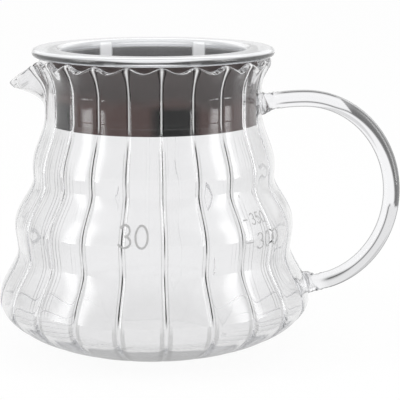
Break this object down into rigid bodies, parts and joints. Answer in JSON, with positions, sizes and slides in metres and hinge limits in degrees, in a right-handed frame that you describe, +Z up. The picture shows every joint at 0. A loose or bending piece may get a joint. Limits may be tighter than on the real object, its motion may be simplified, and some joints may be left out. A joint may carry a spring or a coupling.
{
  "type": "coffee server carafe",
  "caption": "Waisted, fluted glass coffee server with a pinched spout, a fused glass rod handle and a lift-off glass lid in a soft dark sleeve.",
  "frame": {"origin": "centre of the flat under the foot, on the jug's axis", "axes": "+Z up along the jug's axis, +X towards the handle, so the spout points along -X"},
  "size_m": [0.142, 0.1102, 0.1053],
  "materials": {
    "jug_glass": "clear blown heatproof glass",
    "handle_glass": "clear drawn glass rod",
    "lid_glass": "clear pressed glass",
    "sleeve_rubber": "dark translucent brown-grey silicone, satin"
  },
  "bodies": {
    "jug": {"jug_body": "jug_glass", "handle": "handle_glass"},
    "lid": {"lid_glass": "lid_glass", "lid_gasket": "sleeve_rubber"}
  },
  "joints": [
    {"name": "lid_lift", "type": "slide", "parent": "jug", "child": "lid", "axis": [0, 0, 1], "range_m": [0, 0.06]}
  ]
}
